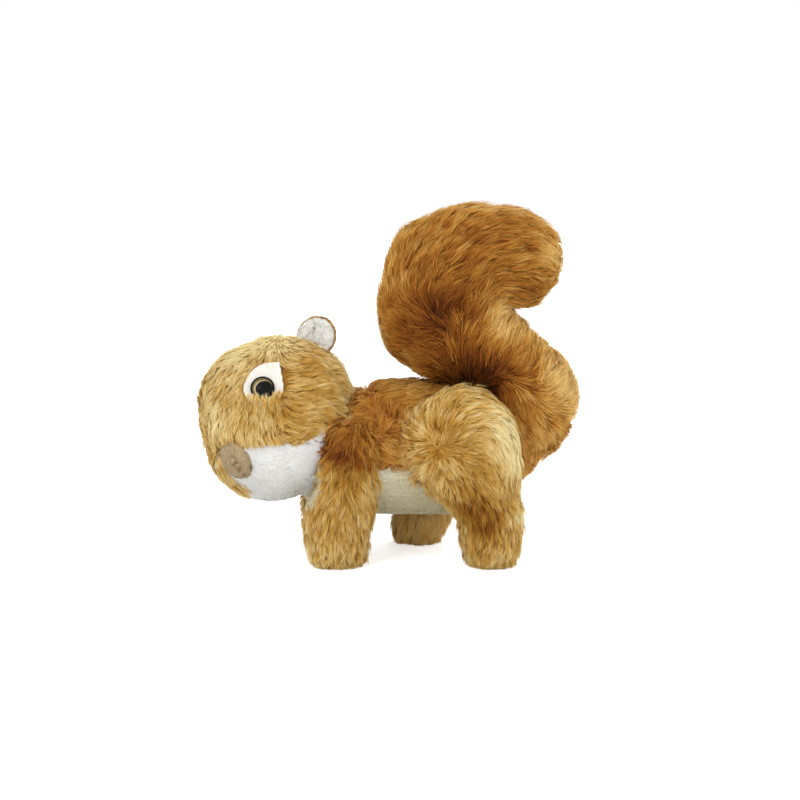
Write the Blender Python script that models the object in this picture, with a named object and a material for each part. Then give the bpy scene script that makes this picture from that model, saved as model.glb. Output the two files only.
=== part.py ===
"""A plush squirrel that stands on four legs, with its head turned and its tail curled over its back.

The nose points towards -X, the toy's left side towards -Y, and the feet stand on Z = 0.
Sizes are in millimetres and become metres where a mesh or a location is made.
The stuffed pieces are lofts on ribs. White and cream panels are let into the head and the torso,
and each eye is a plastic button whose stem is locked by a washer inside the head.
"""

import math

import bmesh
import bpy
import numpy as np
from mathutils import Matrix, Vector

MM = 0.001

# Clearance between pieces that lie against each other, and thickness of the let-in panels
GAP = 0.3
PANEL = 3.0
# How far a cutter reaches past what it cuts
CLEAR = 80.0

# Mesh densities: sections along a loft and points round it, and points round a turned form
TORSO_MESH = (14, 20)
FRONT_LEG_MESH = (10, 16)
HIND_LEG_MESH = (13, 18)
TAIL_MESH = (33, 22)
# How often the head's ball is subdivided, and the ball that cuts the inside of its panels
HEAD_MESH = 4
HEAD_CORE_MESH = 3
NOSE_MESH = (18, 9)
EAR_MESH = (4, 16)
EYE_MESH = 16
WASHER_MESH = 14
PATCH_MESH = 17
MUZZLE_EDGE_MESH = 36
BELLY_EDGE_MESH = 14
# Where the sections of a domed end stand on its quarter circle, in degrees
DOME_SECTIONS = (25, 50, 72)

# Main locks of the long pile: soft waves, so far apart, with this height from trough to crest
LOCK_PITCH = 22.0
TAIL_LOCK_HEIGHT = 4.4
HEAD_LOCK_HEIGHT = 3.4

# Head: a widened ball with a muzzle, turned towards the toy's left, nodding and tilted
HEAD_CENTRE = (-79.0, -5.0, 99.0)
HEAD_TURN = 46.0
HEAD_NOD = 5.0
HEAD_TILT = 26.0
HEAD_HALF_AXES = (51.5, 52.5, 54.5)
# Swellings and hollows of the head: degrees round from the face, elevation, height, spread in degrees
# and falloff, where 3 leaves the middle flatter than 2
MUZZLE_SWELLING = (0.0, -26.0, 6.5, 48.0, 2)
CHEEK_SWELLING = (123.0, 11.0, 5.5, 35.0, 2)
JOWL_SWELLING = (62.0, -61.0, 3.5, 28.0, 2)
EYE_SOCKET = (50.0, 13.0, -8.0, 24.0, 3)
HEAD_SWELLINGS = (MUZZLE_SWELLING, CHEEK_SWELLING, JOWL_SWELLING, EYE_SOCKET)
# Where the head has no locks: degrees round from the face, elevation, reach in degrees
SHORT_MUZZLE = (0.0, -50.0, 40.0)
SHORT_CHIN = (0.0, -90.0, 36.0)
EYE_SURROUND = (50.0, 13.0, 26.0)
EAR_SURROUND = (128.0, 39.0, 17.0)
SMOOTH_PLACES = (SHORT_MUZZLE, SHORT_CHIN, EYE_SURROUND, EAR_SURROUND)
LOCK_FADE = 10.0
# Upper edge of the white panel: degrees round from the face, degrees of elevation
MUZZLE_EDGE = ((0, -14), (17, -16), (43, -29), (84, -42), (100, -38), (140, -47), (180, -58))

# Nose pad, in the middle of the muzzle
NOSE_HALF_AXES = (15.0, 14.0, 7.0)
NOSE_SINK = 0.5
NOSE_CREASE_DEPTH = 2.6
NOSE_CREASE_WIDTH = 1.8
NOSE_CREASE_TOP = 1.0

# Eyes: a domed button on a stem, a felt patch below it and a washer behind the fabric
EYE_RADIUS = 8.2
EYE_DOME = 4.8
EYE_RIM = 0.9
EYE_ROUNDING = 0.5
STEM_RADIUS = 2.4
STEM_LENGTH = 12.0
STEM_HOLE = 2.8
PATCH_THICKNESS = 1.2
PATCH_RADIUS = 14.0
PATCH_MIDDLE = 1.0
PATCH_CORNER = 22.0
WASHER_RADIUS = 10.0
WASHER_THICKNESS = 1.8
WALL = 3.6

# Ears: a half-round flap with a folded lining
EAR_AZIMUTH = 128.0
EAR_ELEVATION = 39.0
EAR_FACING = (0.73, 0.67, 0.02)
EAR_HALF_WIDTH = 14.5
EAR_HALF_HEIGHT = 15.5
EAR_RISE = 8.0
EAR_SINK = 2.0
EAR_BACK_THICKNESS = 5.5
LINING_THICKNESS = 2.5
LINING_SHARE = 0.86
EAR_CUP = 3.0
EAR_FOLD = 3.5
EAR_FOLD_TOP = 6.0
EAR_FOLD_WIDTH = 3.0
# Skins of the ear beside its cupped middle surface: the back piece's front and rim, the lining's back and rim
EAR_SKINS = (-0.2, -1.4, 0.2, 0.7)

# Each rib of a stuffed form: its two ends as x, z, x, z, and half of the thickness across it
TORSO_RIBS = (
    (-56.0, 69.0, -56.0, 40.0, 24.0),
    (-48.0, 92.0, -51.0, 34.0, 33.0),
    (-33.0, 110.0, -36.0, 30.0, 39.0),
    (-13.0, 120.5, -15.0, 29.0, 43.0),
    (8.0, 123.0, 9.0, 29.0, 45.0),
    (31.5, 121.5, 32.0, 29.0, 46.0),
    (54.5, 115.5, 53.0, 29.5, 45.0),
    (74.0, 104.5, 72.0, 34.5, 40.0),
    (87.0, 87.0, 84.0, 46.0, 31.0),
)
TORSO_ENDS = (5.0, 9.0)

TAIL_RIBS = (
    (46.0, 81.0, 79.0, 50.0, 24.0),
    (53.0, 95.0, 103.0, 61.5, 28.0),
    (58.0, 107.0, 122.5, 82.0, 31.0),
    (58.0, 114.0, 132.5, 107.5, 33.0),
    (50.0, 118.0, 128.0, 128.0, 33.0),
    (38.0, 123.0, 113.5, 147.0, 34.0),
    (20.5, 130.5, 96.0, 162.0, 34.0),
    (3.5, 144.0, 87.0, 169.0, 34.0),
    (-4.0, 167.0, 84.5, 172.0, 34.0),
    (-2.0, 191.0, 85.0, 173.5, 34.0),
    (4.0, 217.5, 86.5, 174.5, 33.0),
    (20.0, 235.0, 89.5, 175.0, 32.0),
    (47.0, 242.5, 95.0, 175.5, 30.0),
    (73.0, 243.0, 102.5, 176.5, 28.0),
    (94.0, 240.5, 109.5, 180.5, 25.0),
    (108.5, 232.0, 115.5, 189.5, 20.0),
)
TAIL_ENDS = (6.0, 5.0)
# The notch inside the curl, as x and z, and how far from it the locks begin and reach their height
TAIL_NOTCH = (103.0, 167.0)
TAIL_LOCK_START = (14.0, 30.0)

# Level ribs of the left legs, from the top down: x front, x rear, z, half of the width
FRONT_LEG = (
    (-44.0, -14.0, 94.0, 12.0),
    (-49.0, -8.0, 85.0, 17.0),
    (-50.0, -6.5, 66.0, 19.5),
    (-55.0, -7.0, 45.5, 20.0),
    (-56.5, -9.0, 32.0, 20.5),
    (-56.0, -12.5, 18.5, 20.0),
    (-55.0, -14.0, 7.0, 19.5),
    (-51.5, -17.5, 0.0, 16.0),
)
HIND_LEG = (
    (36.0, 68.0, 119.0, 9.0),
    (19.0, 83.0, 106.0, 17.0),
    (13.5, 88.5, 93.0, 21.0),
    (12.5, 90.5, 80.0, 22.5),
    (16.0, 91.0, 66.0, 22.5),
    (27.5, 90.5, 53.0, 21.5),
    (38.5, 91.5, 43.0, 20.5),
    (47.5, 92.5, 33.5, 20.0),
    (50.0, 92.5, 24.0, 20.0),
    (52.0, 91.0, 12.0, 19.5),
    (56.0, 87.0, 0.0, 16.0),
)
FRONT_LEG_TOP = 6.0
HIND_LEG_TOP = 3.5
FRONT_LEG_SIDE = 37.5
THIGH_SIDE = 41.0
HIND_FOOT_SIDE = 38.0
# How far each right foot stands ahead of its left one, and the heights between which a hind leg leans
FRONT_STEP = 7.5
HIND_STEP = 49.0
HIND_LEAN = (4.0, 102.0)
THIGH_WIDENING = (30.0, 70.0)

# Upper edge of the cream panel in side view, from the chest to the rump
BELLY_EDGE = (
    (-80.0, 98.0),
    (-40.0, 77.0),
    (-6.0, 68.5),
    (16.0, 66.5),
    (50.0, 63.0),
    (76.0, 45.0),
    (88.0, 17.0),
)

COLOURS = {
    "golden_pile": ((0.55, 0.30, 0.09), 0.85),
    "brown_pile": ((0.36, 0.16, 0.05), 0.85),
    "tail_pile": ((0.40, 0.19, 0.05), 0.85),
    "white_pile": ((0.80, 0.78, 0.73), 0.9),
    "cream_pile": ((0.62, 0.55, 0.38), 0.9),
    "nose_pile": ((0.42, 0.30, 0.20), 0.9),
    "felt": ((0.66, 0.63, 0.58), 0.95),
    "eye_plastic": ((0.03, 0.015, 0.008), 0.12),
    "washer_plastic": ((0.75, 0.75, 0.75), 0.5),
}


def clear_scene():
    for obj in list(bpy.data.objects):
        bpy.data.objects.remove(obj, do_unlink=True)


def material(name):
    """The Principled material of this colour name, made once."""
    if name in bpy.data.materials:
        return bpy.data.materials[name]
    colour, roughness = COLOURS[name]
    made = bpy.data.materials.new(name)
    made.use_nodes = True
    shader = made.node_tree.nodes["Principled BSDF"]
    shader.inputs["Base Color"].default_value = (*colour, 1.0)
    shader.inputs["Roughness"].default_value = roughness
    shader.inputs["Metallic"].default_value = 0.0
    made.diffuse_color = (*colour, 1.0)
    return made


def add_empty(name, parent=None, location=(0, 0, 0), axes=None):
    empty = bpy.data.objects.new(name, None)
    bpy.context.scene.collection.objects.link(empty)
    empty.parent = parent
    place(empty, location, axes)
    return empty


def place(obj, location, axes=None):
    """Sets where obj is and how it is turned, in its parent's frame; axes are its x, y and z directions."""
    turned = Matrix.Identity(3) if axes is None else Matrix(axes).transposed()
    obj.location = Vector(location) * MM
    obj.rotation_euler = turned.to_euler()


def add_solid(name, form, parent, look=None, location=(0, 0, 0), axes=None):
    """A mesh object from points in millimetres and faces. Without a look it is a cutter."""
    points, faces = form
    mesh = bpy.data.meshes.new(name)
    mesh.from_pydata([tuple(float(v) * MM for v in p) for p in points], [], [tuple(f) for f in faces])
    shell = bmesh.new()
    shell.from_mesh(mesh)
    bmesh.ops.recalc_face_normals(shell, faces=shell.faces)
    shell.to_mesh(mesh)
    shell.free()
    mesh.shade_smooth()
    mesh.set_sharp_from_angle(angle=math.radians(50))
    obj = bpy.data.objects.new(name, mesh)
    bpy.context.scene.collection.objects.link(obj)
    obj.parent = parent
    place(obj, location, axes)
    if look is None:
        obj.hide_render = True
        obj.display_type = "WIRE"
    else:
        mesh.materials.append(material(look))
    return obj


def boolean(obj, operation, *others):
    for other in others:
        step = obj.modifiers.new(f"{operation.lower()}_{other.name}", "BOOLEAN")
        step.operation = operation
        step.solver = "EXACT"
        step.object = other


def lock_wave(point):
    """The height of the pile's locks at a point, from -0.5 in a trough to 0.5 on a crest."""
    x, y, z = (2 * math.pi * c / LOCK_PITCH for c in point)
    return (math.sin(x) * math.cos(y) + math.sin(y) * math.cos(z) + math.sin(z) * math.cos(x)) / 3


def smooth_step(value, low, high):
    """Rises from 0 at low to 1 at high."""
    value = min(max((value - low) / (high - low), 0.0), 1.0)
    return value * value * (3 - 2 * value)


def point_normals(form):
    """The normal at each point of a closed form."""
    points, faces = form
    shell = bmesh.new()
    made = [shell.verts.new(p) for p in points]
    for face in faces:
        shell.faces.new([made[i] for i in face])
    bmesh.ops.recalc_face_normals(shell, faces=shell.faces)
    shell.normal_update()
    normals = [v.normal.copy() for v in made]
    shell.free()
    return normals


def inflated(form, distance):
    """The same form with each point moved out along its normal; a negative distance moves it in."""
    points, faces = form
    return [tuple(Vector(p) + n * distance) for p, n in zip(points, point_normals(form))], faces


def spline(rows, count):
    """count rows read from a Catmull-Rom curve through the given rows."""
    rows = np.array(rows, float)
    ends = np.vstack([2 * rows[0] - rows[1], rows, 2 * rows[-1] - rows[-2]])
    read = []
    for t in np.linspace(0, len(rows) - 1, count):
        i = min(int(t), len(rows) - 2)
        a, b, c, d = ends[i : i + 4]
        u = t - i
        square, cube = 2 * a - 5 * b + 4 * c - d, 3 * b - a - 3 * c + d
        read.append(0.5 * (2 * b + (c - a) * u + square * u**2 + cube * u**3))
    return np.array(read)


def ring_faces(rings, around):
    """Faces of a tube of rings that ends in two poles, which are the last two points."""
    faces = []
    for i in range(rings - 1):
        for j in range(around):
            k = (j + 1) % around
            faces.append((i * around + j, i * around + k, (i + 1) * around + k, (i + 1) * around + j))
    first, last = rings * around, rings * around + 1
    for j in range(around):
        k = (j + 1) % around
        faces.append((first, k, j))
        faces.append((last, (rings - 1) * around + j, (rings - 1) * around + k))
    return faces


def rib_loft(ribs, ends, steps, around):
    """A stuffed form: elliptical sections on ribs that stand in planes across Y.

    Each rib is x, z, x, z, middle y and half thickness. ends gives how far each end is domed;
    an end of 0 is flat.
    """
    rows = spline(ribs, steps)
    sections = []
    for a_x, a_z, b_x, b_z, y, half in rows:
        a, b = np.array((a_x, y, a_z)), np.array((b_x, y, b_z))
        sections.append(((a + b) / 2, (b - a) / 2, np.array((0.0, half, 0.0))))

    def domed(at, inner, bulge):
        middle, half_rib, half_wide = at
        way = np.cross(half_rib, (0.0, 1.0, 0.0))
        way /= np.linalg.norm(way)
        way *= np.sign(way @ (middle - inner[0]))
        extra = []
        if bulge:
            for angle in DOME_SECTIONS:
                s, c = math.sin(math.radians(angle)), math.cos(math.radians(angle))
                extra.append((middle + way * bulge * s, half_rib * c, half_wide * c))
        return extra, middle + way * bulge

    head, first = domed(sections[0], sections[1], ends[0])
    foot, last = domed(sections[-1], sections[-2], ends[1])
    sections = head[::-1] + sections + foot
    points = []
    for middle, half_rib, half_wide in sections:
        for j in range(around):
            angle = 2 * math.pi * j / around
            points.append(tuple(middle + half_rib * math.cos(angle) + half_wide * math.sin(angle)))
    points += [tuple(first), tuple(last)]
    return points, ring_faces(len(sections), around)


def revolved(profile, around):
    """A turned form: r, z pairs from the lower pole to the upper pole, both on the axis."""
    points = []
    for r, z in profile[1:-1]:
        for j in range(around):
            angle = 2 * math.pi * j / around
            points.append((r * math.cos(angle), r * math.sin(angle), z))
    points += [(0.0, 0.0, profile[0][1]), (0.0, 0.0, profile[-1][1])]
    return points, ring_faces(len(profile) - 2, around)


def ring_form(outer, inner, low, high, around):
    """A flat ring round the Z axis."""
    corners = ((outer, low), (outer, high), (inner, high), (inner, low))
    points = []
    for r, z in corners:
        for j in range(around):
            angle = 2 * math.pi * j / around
            points.append((r * math.cos(angle), r * math.sin(angle), z))
    faces = []
    for i in range(4):
        for j in range(around):
            k = (j + 1) % around
            n = (i + 1) % 4
            faces.append((i * around + j, i * around + k, n * around + k, n * around + j))
    return points, faces


def prism(outline, low, high):
    """An outline of x, y pairs extruded along Z."""
    n = len(outline)
    points = [(x, y, low) for x, y in outline] + [(x, y, high) for x, y in outline]
    faces = [tuple(range(n))[::-1], tuple(range(n, 2 * n))]
    faces += [(i, (i + 1) % n, n + (i + 1) % n, n + i) for i in range(n)]
    return points, faces


def direction(azimuth, elevation):
    """A unit vector in the head's frame: x forward, y to the toy's left, z to the crown."""
    a, e = math.radians(azimuth), math.radians(elevation)
    return Vector((math.cos(e) * math.cos(a), math.cos(e) * math.sin(a), math.sin(e)))


def head_axes():
    """The head's forward, left and crown directions in the world."""
    turn, nod, tilt = (math.radians(v) for v in (HEAD_TURN, HEAD_NOD, HEAD_TILT))
    forward = Vector((-math.cos(turn) * math.cos(nod), -math.sin(turn) * math.cos(nod), -math.sin(nod)))
    level = Vector((0, 0, 1)).cross(forward).normalized()
    upright = forward.cross(level)
    left = level * math.cos(tilt) + upright * math.sin(tilt)
    return forward, left, forward.cross(left)


def head_reach(way):
    """Distance from the head's centre to its skin in the direction way."""
    reach = 1 / math.sqrt(sum((w / a) ** 2 for w, a in zip(way, HEAD_HALF_AXES)))
    for azimuth, elevation, height, spread, falloff in HEAD_SWELLINGS:
        for sign in (-1, 1) if azimuth else (1,):
            away = math.degrees(way.angle(direction(sign * azimuth, elevation)))
            reach += height * math.exp(-((away / spread) ** falloff))
    return reach + HEAD_LOCK_HEIGHT * lock_wave(way * reach) * lock_share(way)


def lock_share(way):
    """1 where the head's pile is long, falling to 0 in its smooth places."""
    share = 1.0
    for azimuth, elevation, spread in SMOOTH_PLACES:
        for sign in (-1, 1) if azimuth else (1,):
            away = math.degrees(way.angle(direction(sign * azimuth, elevation)))
            share *= smooth_step(away, spread, spread + LOCK_FADE)
    return share


def head_form(subdivisions):
    ball = bmesh.new()
    bmesh.ops.create_icosphere(ball, subdivisions=subdivisions, radius=1)
    points = [tuple(v.co.normalized() * head_reach(v.co.normalized())) for v in ball.verts]
    faces = [tuple(v.index for v in f.verts) for f in ball.faces]
    ball.free()
    return points, faces


def below_muzzle_edge(extra):
    """The space under the white panel's upper edge, as a fan from the head's centre; extra is in degrees."""
    count, reach = MUZZLE_EDGE_MESH, CLEAR + PANEL
    angles = [360 * i / count for i in range(count)]
    edge_angle, edge_height = zip(*MUZZLE_EDGE)
    heights = np.interp([min(a, 360 - a) for a in angles], edge_angle, edge_height)
    for _ in range(4):
        heights = (np.roll(heights, 1) + 2 * heights + np.roll(heights, -1)) / 4
    ring = [tuple(direction(a, h + extra) * reach) for a, h in zip(angles, heights)]
    points = ring + [(0.0, 0.0, 0.0), (0.0, 0.0, -reach)]
    faces = []
    for i in range(count):
        j = (i + 1) % count
        faces += [(count, i, j), (count + 1, j, i)]
    return points, faces


def add_head(root):
    """The head's frame and its two fabrics; returns the frame and the whole head's form."""
    frame = add_empty("head_frame", root, HEAD_CENTRE, head_axes())
    whole = head_form(HEAD_MESH)
    core = head_form(HEAD_CORE_MESH)
    side_gap = math.degrees(GAP / HEAD_HALF_AXES[0])
    recess = add_solid("cut_muzzle_recess", below_muzzle_edge(side_gap), frame)
    boolean(recess, "DIFFERENCE", add_solid("cut_head_core", inflated(core, -PANEL - GAP), frame))
    head = add_solid("head", whole, frame, "golden_pile")
    boolean(head, "DIFFERENCE", recess)
    muzzle = add_solid("muzzle", whole, frame, "white_pile")
    boolean(muzzle, "INTERSECT", add_solid("cut_muzzle_edge", below_muzzle_edge(0.0), frame))
    boolean(muzzle, "DIFFERENCE", add_solid("cut_muzzle_back", inflated(core, -PANEL), frame))
    return frame, whole, head


def add_nose(frame, whole):
    """A flattened ball with a pinched crease from its middle to its lower edge, seated on the muzzle."""
    out = direction(*MUZZLE_SWELLING[:2])
    down = direction(MUZZLE_SWELLING[0], MUZZLE_SWELLING[1] - 90)
    across = out.cross(down)
    ball = bmesh.new()
    bmesh.ops.create_uvsphere(ball, u_segments=NOSE_MESH[0], v_segments=NOSE_MESH[1], radius=1)
    points = []
    for v in ball.verts:
        x, y, z = (c * half for c, half in zip(v.co, NOSE_HALF_AXES))
        along = min(max((x + NOSE_CREASE_TOP) / NOSE_HALF_AXES[0], 0.0), 1.0)
        z -= NOSE_CREASE_DEPTH * along * math.exp(-((y / NOSE_CREASE_WIDTH) ** 2)) * (v.co.z > 0)
        points.append((x, y, z))
    faces = [tuple(v.index for v in f.verts) for f in ball.faces]
    ball.free()
    seat = out * (head_reach(out) - NOSE_SINK)
    nose = add_solid("nose", (points, faces), frame, "nose_pile", seat, (down, across, out))
    boolean(nose, "DIFFERENCE", add_solid("cut_nose_seat", inflated(whole, GAP), frame))


def eye_profile():
    top = [(EYE_RADIUS * math.cos(a), EYE_RIM + EYE_DOME * math.sin(a)) for a in np.radians((0, 22, 44, 66))]
    tip = STEM_RADIUS - EYE_ROUNDING
    stem = [(tip, -STEM_LENGTH), (STEM_RADIUS, EYE_ROUNDING - STEM_LENGTH), (STEM_RADIUS, 0.0)]
    rim = [(EYE_RADIUS - EYE_ROUNDING, 0.0), (EYE_RADIUS, EYE_ROUNDING)]
    return [(0.0, -STEM_LENGTH), *stem, *rim, *top, (0.0, EYE_RIM + EYE_DOME)]


def patch_outline():
    """A circle drawn out to one corner along +X."""
    reach = PATCH_CORNER - PATCH_MIDDLE
    touch = math.acos(PATCH_RADIUS / reach)
    turns = np.linspace(touch, 2 * math.pi - touch, PATCH_MESH)
    arc = [(PATCH_MIDDLE + PATCH_RADIUS * math.cos(a), PATCH_RADIUS * math.sin(a)) for a in turns]
    return [(PATCH_CORNER, 0.0), *arc]


def add_eye(side, sign, frame, whole, head):
    """The patch, the button, its washer and the stepped hole that they need."""
    out = direction(sign * EYE_SOCKET[0], EYE_SOCKET[1])
    ear = direction(sign * EAR_AZIMUTH, EAR_ELEVATION)
    to_ear = (ear - out * ear.dot(out)).normalized()
    axes = (to_ear, out.cross(to_ear), out)
    skin = out * head_reach(out)
    seat = out * (head_reach(out) + GAP + PATCH_THICKNESS + GAP)
    base = -(GAP + PATCH_THICKNESS + GAP)

    deep, ceiling = -STEM_LENGTH - GAP, base - WALL
    floor = ceiling - WASHER_THICKNESS - 2 * GAP
    hole = [(0.0, deep), (STEM_HOLE, deep), (STEM_HOLE, floor)]
    hole += [(WASHER_RADIUS + GAP, floor), (WASHER_RADIUS + GAP, ceiling), (STEM_HOLE, ceiling)]
    hole += [(STEM_HOLE, -GAP), (EYE_RADIUS + GAP, -GAP), (EYE_RADIUS + GAP, CLEAR), (0.0, CLEAR)]
    cutter = add_solid(f"cut_{side}_eye_hole", revolved(hole, WASHER_MESH), frame, None, seat, axes)
    boolean(head, "DIFFERENCE", cutter)

    teardrop = prism(patch_outline(), -STEM_LENGTH, STEM_LENGTH)
    patch = add_solid(f"{side}_eye_patch", teardrop, frame, "felt", skin, axes)
    top = add_solid(f"cut_{side}_patch_top", inflated(whole, GAP + PATCH_THICKNESS), frame)
    under = add_solid(f"cut_{side}_patch_under", inflated(whole, GAP), frame)
    boolean(patch, "INTERSECT", top)
    boolean(patch, "DIFFERENCE", under, cutter)

    add_solid(f"{side}_eye", revolved(eye_profile(), EYE_MESH), frame, "eye_plastic", seat, axes)
    low = floor + GAP
    ring = ring_form(WASHER_RADIUS, STEM_RADIUS + GAP, low, low + WASHER_THICKNESS, WASHER_MESH)
    add_solid(f"{side}_eye_washer", ring, frame, "washer_plastic", seat, axes)


def ear_flap(share, front, back):
    """A cupped oval flap: x across, y up from the root, z towards the face.

    front and back give its two skins beside the cupped middle surface, from the distance to its middle.
    """
    rings, around = EAR_MESH
    half_x, half_y = EAR_HALF_WIDTH * share, EAR_HALF_HEIGHT * share
    points, upper, lower = [], [], []

    def cup(x, y):
        down = min(max((EAR_FOLD_TOP - (y - EAR_RISE)) / EAR_HALF_HEIGHT, 0.0), 1.0)
        fold = EAR_FOLD * down * math.exp(-((x / EAR_FOLD_WIDTH) ** 2))
        return EAR_CUP * (x / EAR_HALF_WIDTH) ** 2 - fold

    def ring(rho, skin):
        made = []
        for j in range(around):
            angle = 2 * math.pi * j / around
            x, y = half_x * rho * math.cos(angle), EAR_RISE + half_y * rho * math.sin(angle)
            made.append((x, y, cup(x, y) + skin(rho)))
        return made

    shares = [math.sin(math.pi / 2 * i / rings) for i in range(1, rings + 1)]
    for rho in shares:
        lower += ring(rho, back)
    for rho in shares[::-1]:
        upper += ring(rho, front)
    middle = cup(0.0, EAR_RISE)
    points = lower + upper + [(0.0, EAR_RISE, middle + back(0.0)), (0.0, EAR_RISE, middle + front(0.0))]
    return points, ring_faces(2 * rings, around)


def add_ear(side, sign, frame, whole):
    root = direction(sign * EAR_AZIMUTH, EAR_ELEVATION)
    facing = Vector((EAR_FACING[0], sign * EAR_FACING[1], EAR_FACING[2]))
    facing = (facing - root * facing.dot(root)).normalized()
    axes = (root.cross(facing), root, facing)
    seat = root * (head_reach(root) - EAR_SINK)

    back_front, back_rim, lining_back, lining_rim = EAR_SKINS

    def domed(rim, height):
        return lambda rho: rim + height * math.sqrt(max(1 - rho**2, 0.0))

    back = ear_flap(1.0, domed(back_front, 0.0), domed(back_rim, -EAR_BACK_THICKNESS))
    lining = ear_flap(LINING_SHARE, domed(lining_rim, LINING_THICKNESS), domed(lining_back, 0.0))
    skin = add_solid(f"cut_{side}_ear_seat", inflated(whole, GAP), frame)
    boolean(add_solid(f"{side}_ear_back", back, frame, "golden_pile", seat, axes), "DIFFERENCE", skin)
    boolean(add_solid(f"{side}_ear_lining", lining, frame, "white_pile", seat, axes), "DIFFERENCE", skin)


def torso_form():
    ribs = [(*rib[:4], 0.0, rib[4]) for rib in TORSO_RIBS]
    return rib_loft(ribs, TORSO_ENDS, *TORSO_MESH)


def below_belly_edge(lift):
    """The space under the cream panel's upper edge, right through the torso."""
    edge = [(x, z + lift) for x, z in BELLY_EDGE]
    outline = [(edge[0][0], 0.0), *[tuple(p) for p in spline(edge, BELLY_EDGE_MESH)], (edge[-1][0], 0.0)]
    points, faces = prism(outline, -CLEAR, CLEAR)
    return [(x, y, z) for x, z, y in points], faces


def add_torso(root, whole, neck):
    recess = add_solid("cut_belly_recess", below_belly_edge(GAP), root)
    boolean(recess, "DIFFERENCE", add_solid("cut_torso_core", inflated(whole, -PANEL - GAP), root))
    torso = add_solid("torso", whole, root, "brown_pile")
    boolean(torso, "DIFFERENCE", recess, neck)
    belly = add_solid("belly_panel", whole, root, "cream_pile")
    boolean(belly, "INTERSECT", add_solid("cut_belly_edge", below_belly_edge(0.0), root))
    boolean(belly, "DIFFERENCE", add_solid("cut_belly_back", inflated(whole, -PANEL), root), neck)


def front_leg_form(sign):
    step = FRONT_STEP if sign > 0 else 0.0
    ribs = []
    for front, rear, z, half in FRONT_LEG:
        shift = step * (1 - z / FRONT_LEG[0][2])
        ribs.append((front - shift, z, rear - shift, z, sign * FRONT_LEG_SIDE, half))
    return rib_loft(ribs, (FRONT_LEG_TOP, 0.0), *FRONT_LEG_MESH)


def hind_leg_form(sign):
    step = HIND_STEP if sign > 0 else 0.0
    ribs = []
    for front, rear, z, half in HIND_LEG:
        shift = step * (1 - smooth_step(z, *HIND_LEAN))
        middle = HIND_FOOT_SIDE + (THIGH_SIDE - HIND_FOOT_SIDE) * smooth_step(z, *THIGH_WIDENING)
        ribs.append((front - shift, z, rear - shift, z, sign * middle, half))
    return rib_loft(ribs, (HIND_LEG_TOP, 0.0), *HIND_LEG_MESH)


def add_legs(root, body, neck):
    """The four legs, cut where they lie against the torso and the head; returns what the tail has to clear."""
    thighs = []
    for side, sign in (("left", -1), ("right", 1)):
        fore = add_solid(f"front_{side}_leg", front_leg_form(sign), root, "golden_pile")
        boolean(fore, "DIFFERENCE", body, neck)
        form = hind_leg_form(sign)
        hind = add_solid(f"hind_{side}_leg", form, root, "golden_pile")
        boolean(hind, "DIFFERENCE", body)
        thighs.append(add_solid(f"cut_{side}_thigh", inflated(form, GAP), root))
    return thighs


def tail_form():
    """The curled tail with its locks, which end before the notch."""
    smooth = rib_loft([(*rib[:4], 0.0, rib[4]) for rib in TAIL_RIBS], TAIL_ENDS, *TAIL_MESH)
    points = []
    for point, normal in zip(smooth[0], point_normals(smooth)):
        away = math.dist((point[0], point[2]), TAIL_NOTCH)
        height = TAIL_LOCK_HEIGHT * smooth_step(away, *TAIL_LOCK_START)
        points.append(tuple(Vector(point) + normal * height * lock_wave(point)))
    return points, smooth[1]


def add_tail(root, body, thighs):
    tail = add_solid("tail", tail_form(), root, "tail_pile")
    boolean(tail, "DIFFERENCE", body, *thighs)


def main():
    clear_scene()
    root = add_empty("squirrel")
    frame, whole_head, head = add_head(root)
    add_nose(frame, whole_head)
    for side, sign in (("left", 1), ("right", -1)):
        add_eye(side, sign, frame, whole_head, head)
        add_ear(side, sign, frame, whole_head)
    neck = add_solid("cut_neck", inflated(whole_head, GAP), frame)
    whole_torso = torso_form()
    body = add_solid("cut_body", inflated(whole_torso, GAP), root)
    add_torso(root, whole_torso, neck)
    thighs = add_legs(root, body, neck)
    add_tail(root, body, thighs)


main()
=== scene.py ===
"""The looks of the plush squirrel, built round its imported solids.

Lengths are in millimetres where a name or a comment says so, and otherwise in metres, in the frame of the
solids: the nose towards -X, the toy's left side towards -Y, Z up. Each stuffed piece is a skin that lies
inside its solid, covered with tapered strands of pile. The way the pile lies, and where it is paler,
darker or ruffled, comes from guides placed in the photograph's frame of 800 x 800 pixels. The far side
mirrors the near one.
"""

import math
from dataclasses import dataclass, replace

import bmesh
import bpy
import numpy as np
from mathutils import Matrix, Vector
from mathutils.bvhtree import BVHTree
from mathutils.kdtree import KDTree


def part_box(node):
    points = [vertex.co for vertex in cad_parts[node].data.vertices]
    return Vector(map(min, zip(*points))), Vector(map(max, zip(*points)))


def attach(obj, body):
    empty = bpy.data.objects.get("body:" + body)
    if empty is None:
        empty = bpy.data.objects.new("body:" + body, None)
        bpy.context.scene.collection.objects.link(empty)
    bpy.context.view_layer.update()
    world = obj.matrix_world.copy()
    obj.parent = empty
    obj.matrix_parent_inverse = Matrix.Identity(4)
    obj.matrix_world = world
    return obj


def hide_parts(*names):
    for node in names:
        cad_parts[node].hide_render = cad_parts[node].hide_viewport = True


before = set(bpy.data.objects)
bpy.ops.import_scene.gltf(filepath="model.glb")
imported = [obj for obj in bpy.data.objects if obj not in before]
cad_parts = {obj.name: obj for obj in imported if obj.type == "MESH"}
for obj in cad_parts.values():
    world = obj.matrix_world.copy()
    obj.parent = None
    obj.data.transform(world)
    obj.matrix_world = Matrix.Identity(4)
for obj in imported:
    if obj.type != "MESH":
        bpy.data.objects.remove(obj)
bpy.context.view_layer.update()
MM = 0.001
RANDOM_SEED = 7
SEED_STEP = 10

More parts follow.
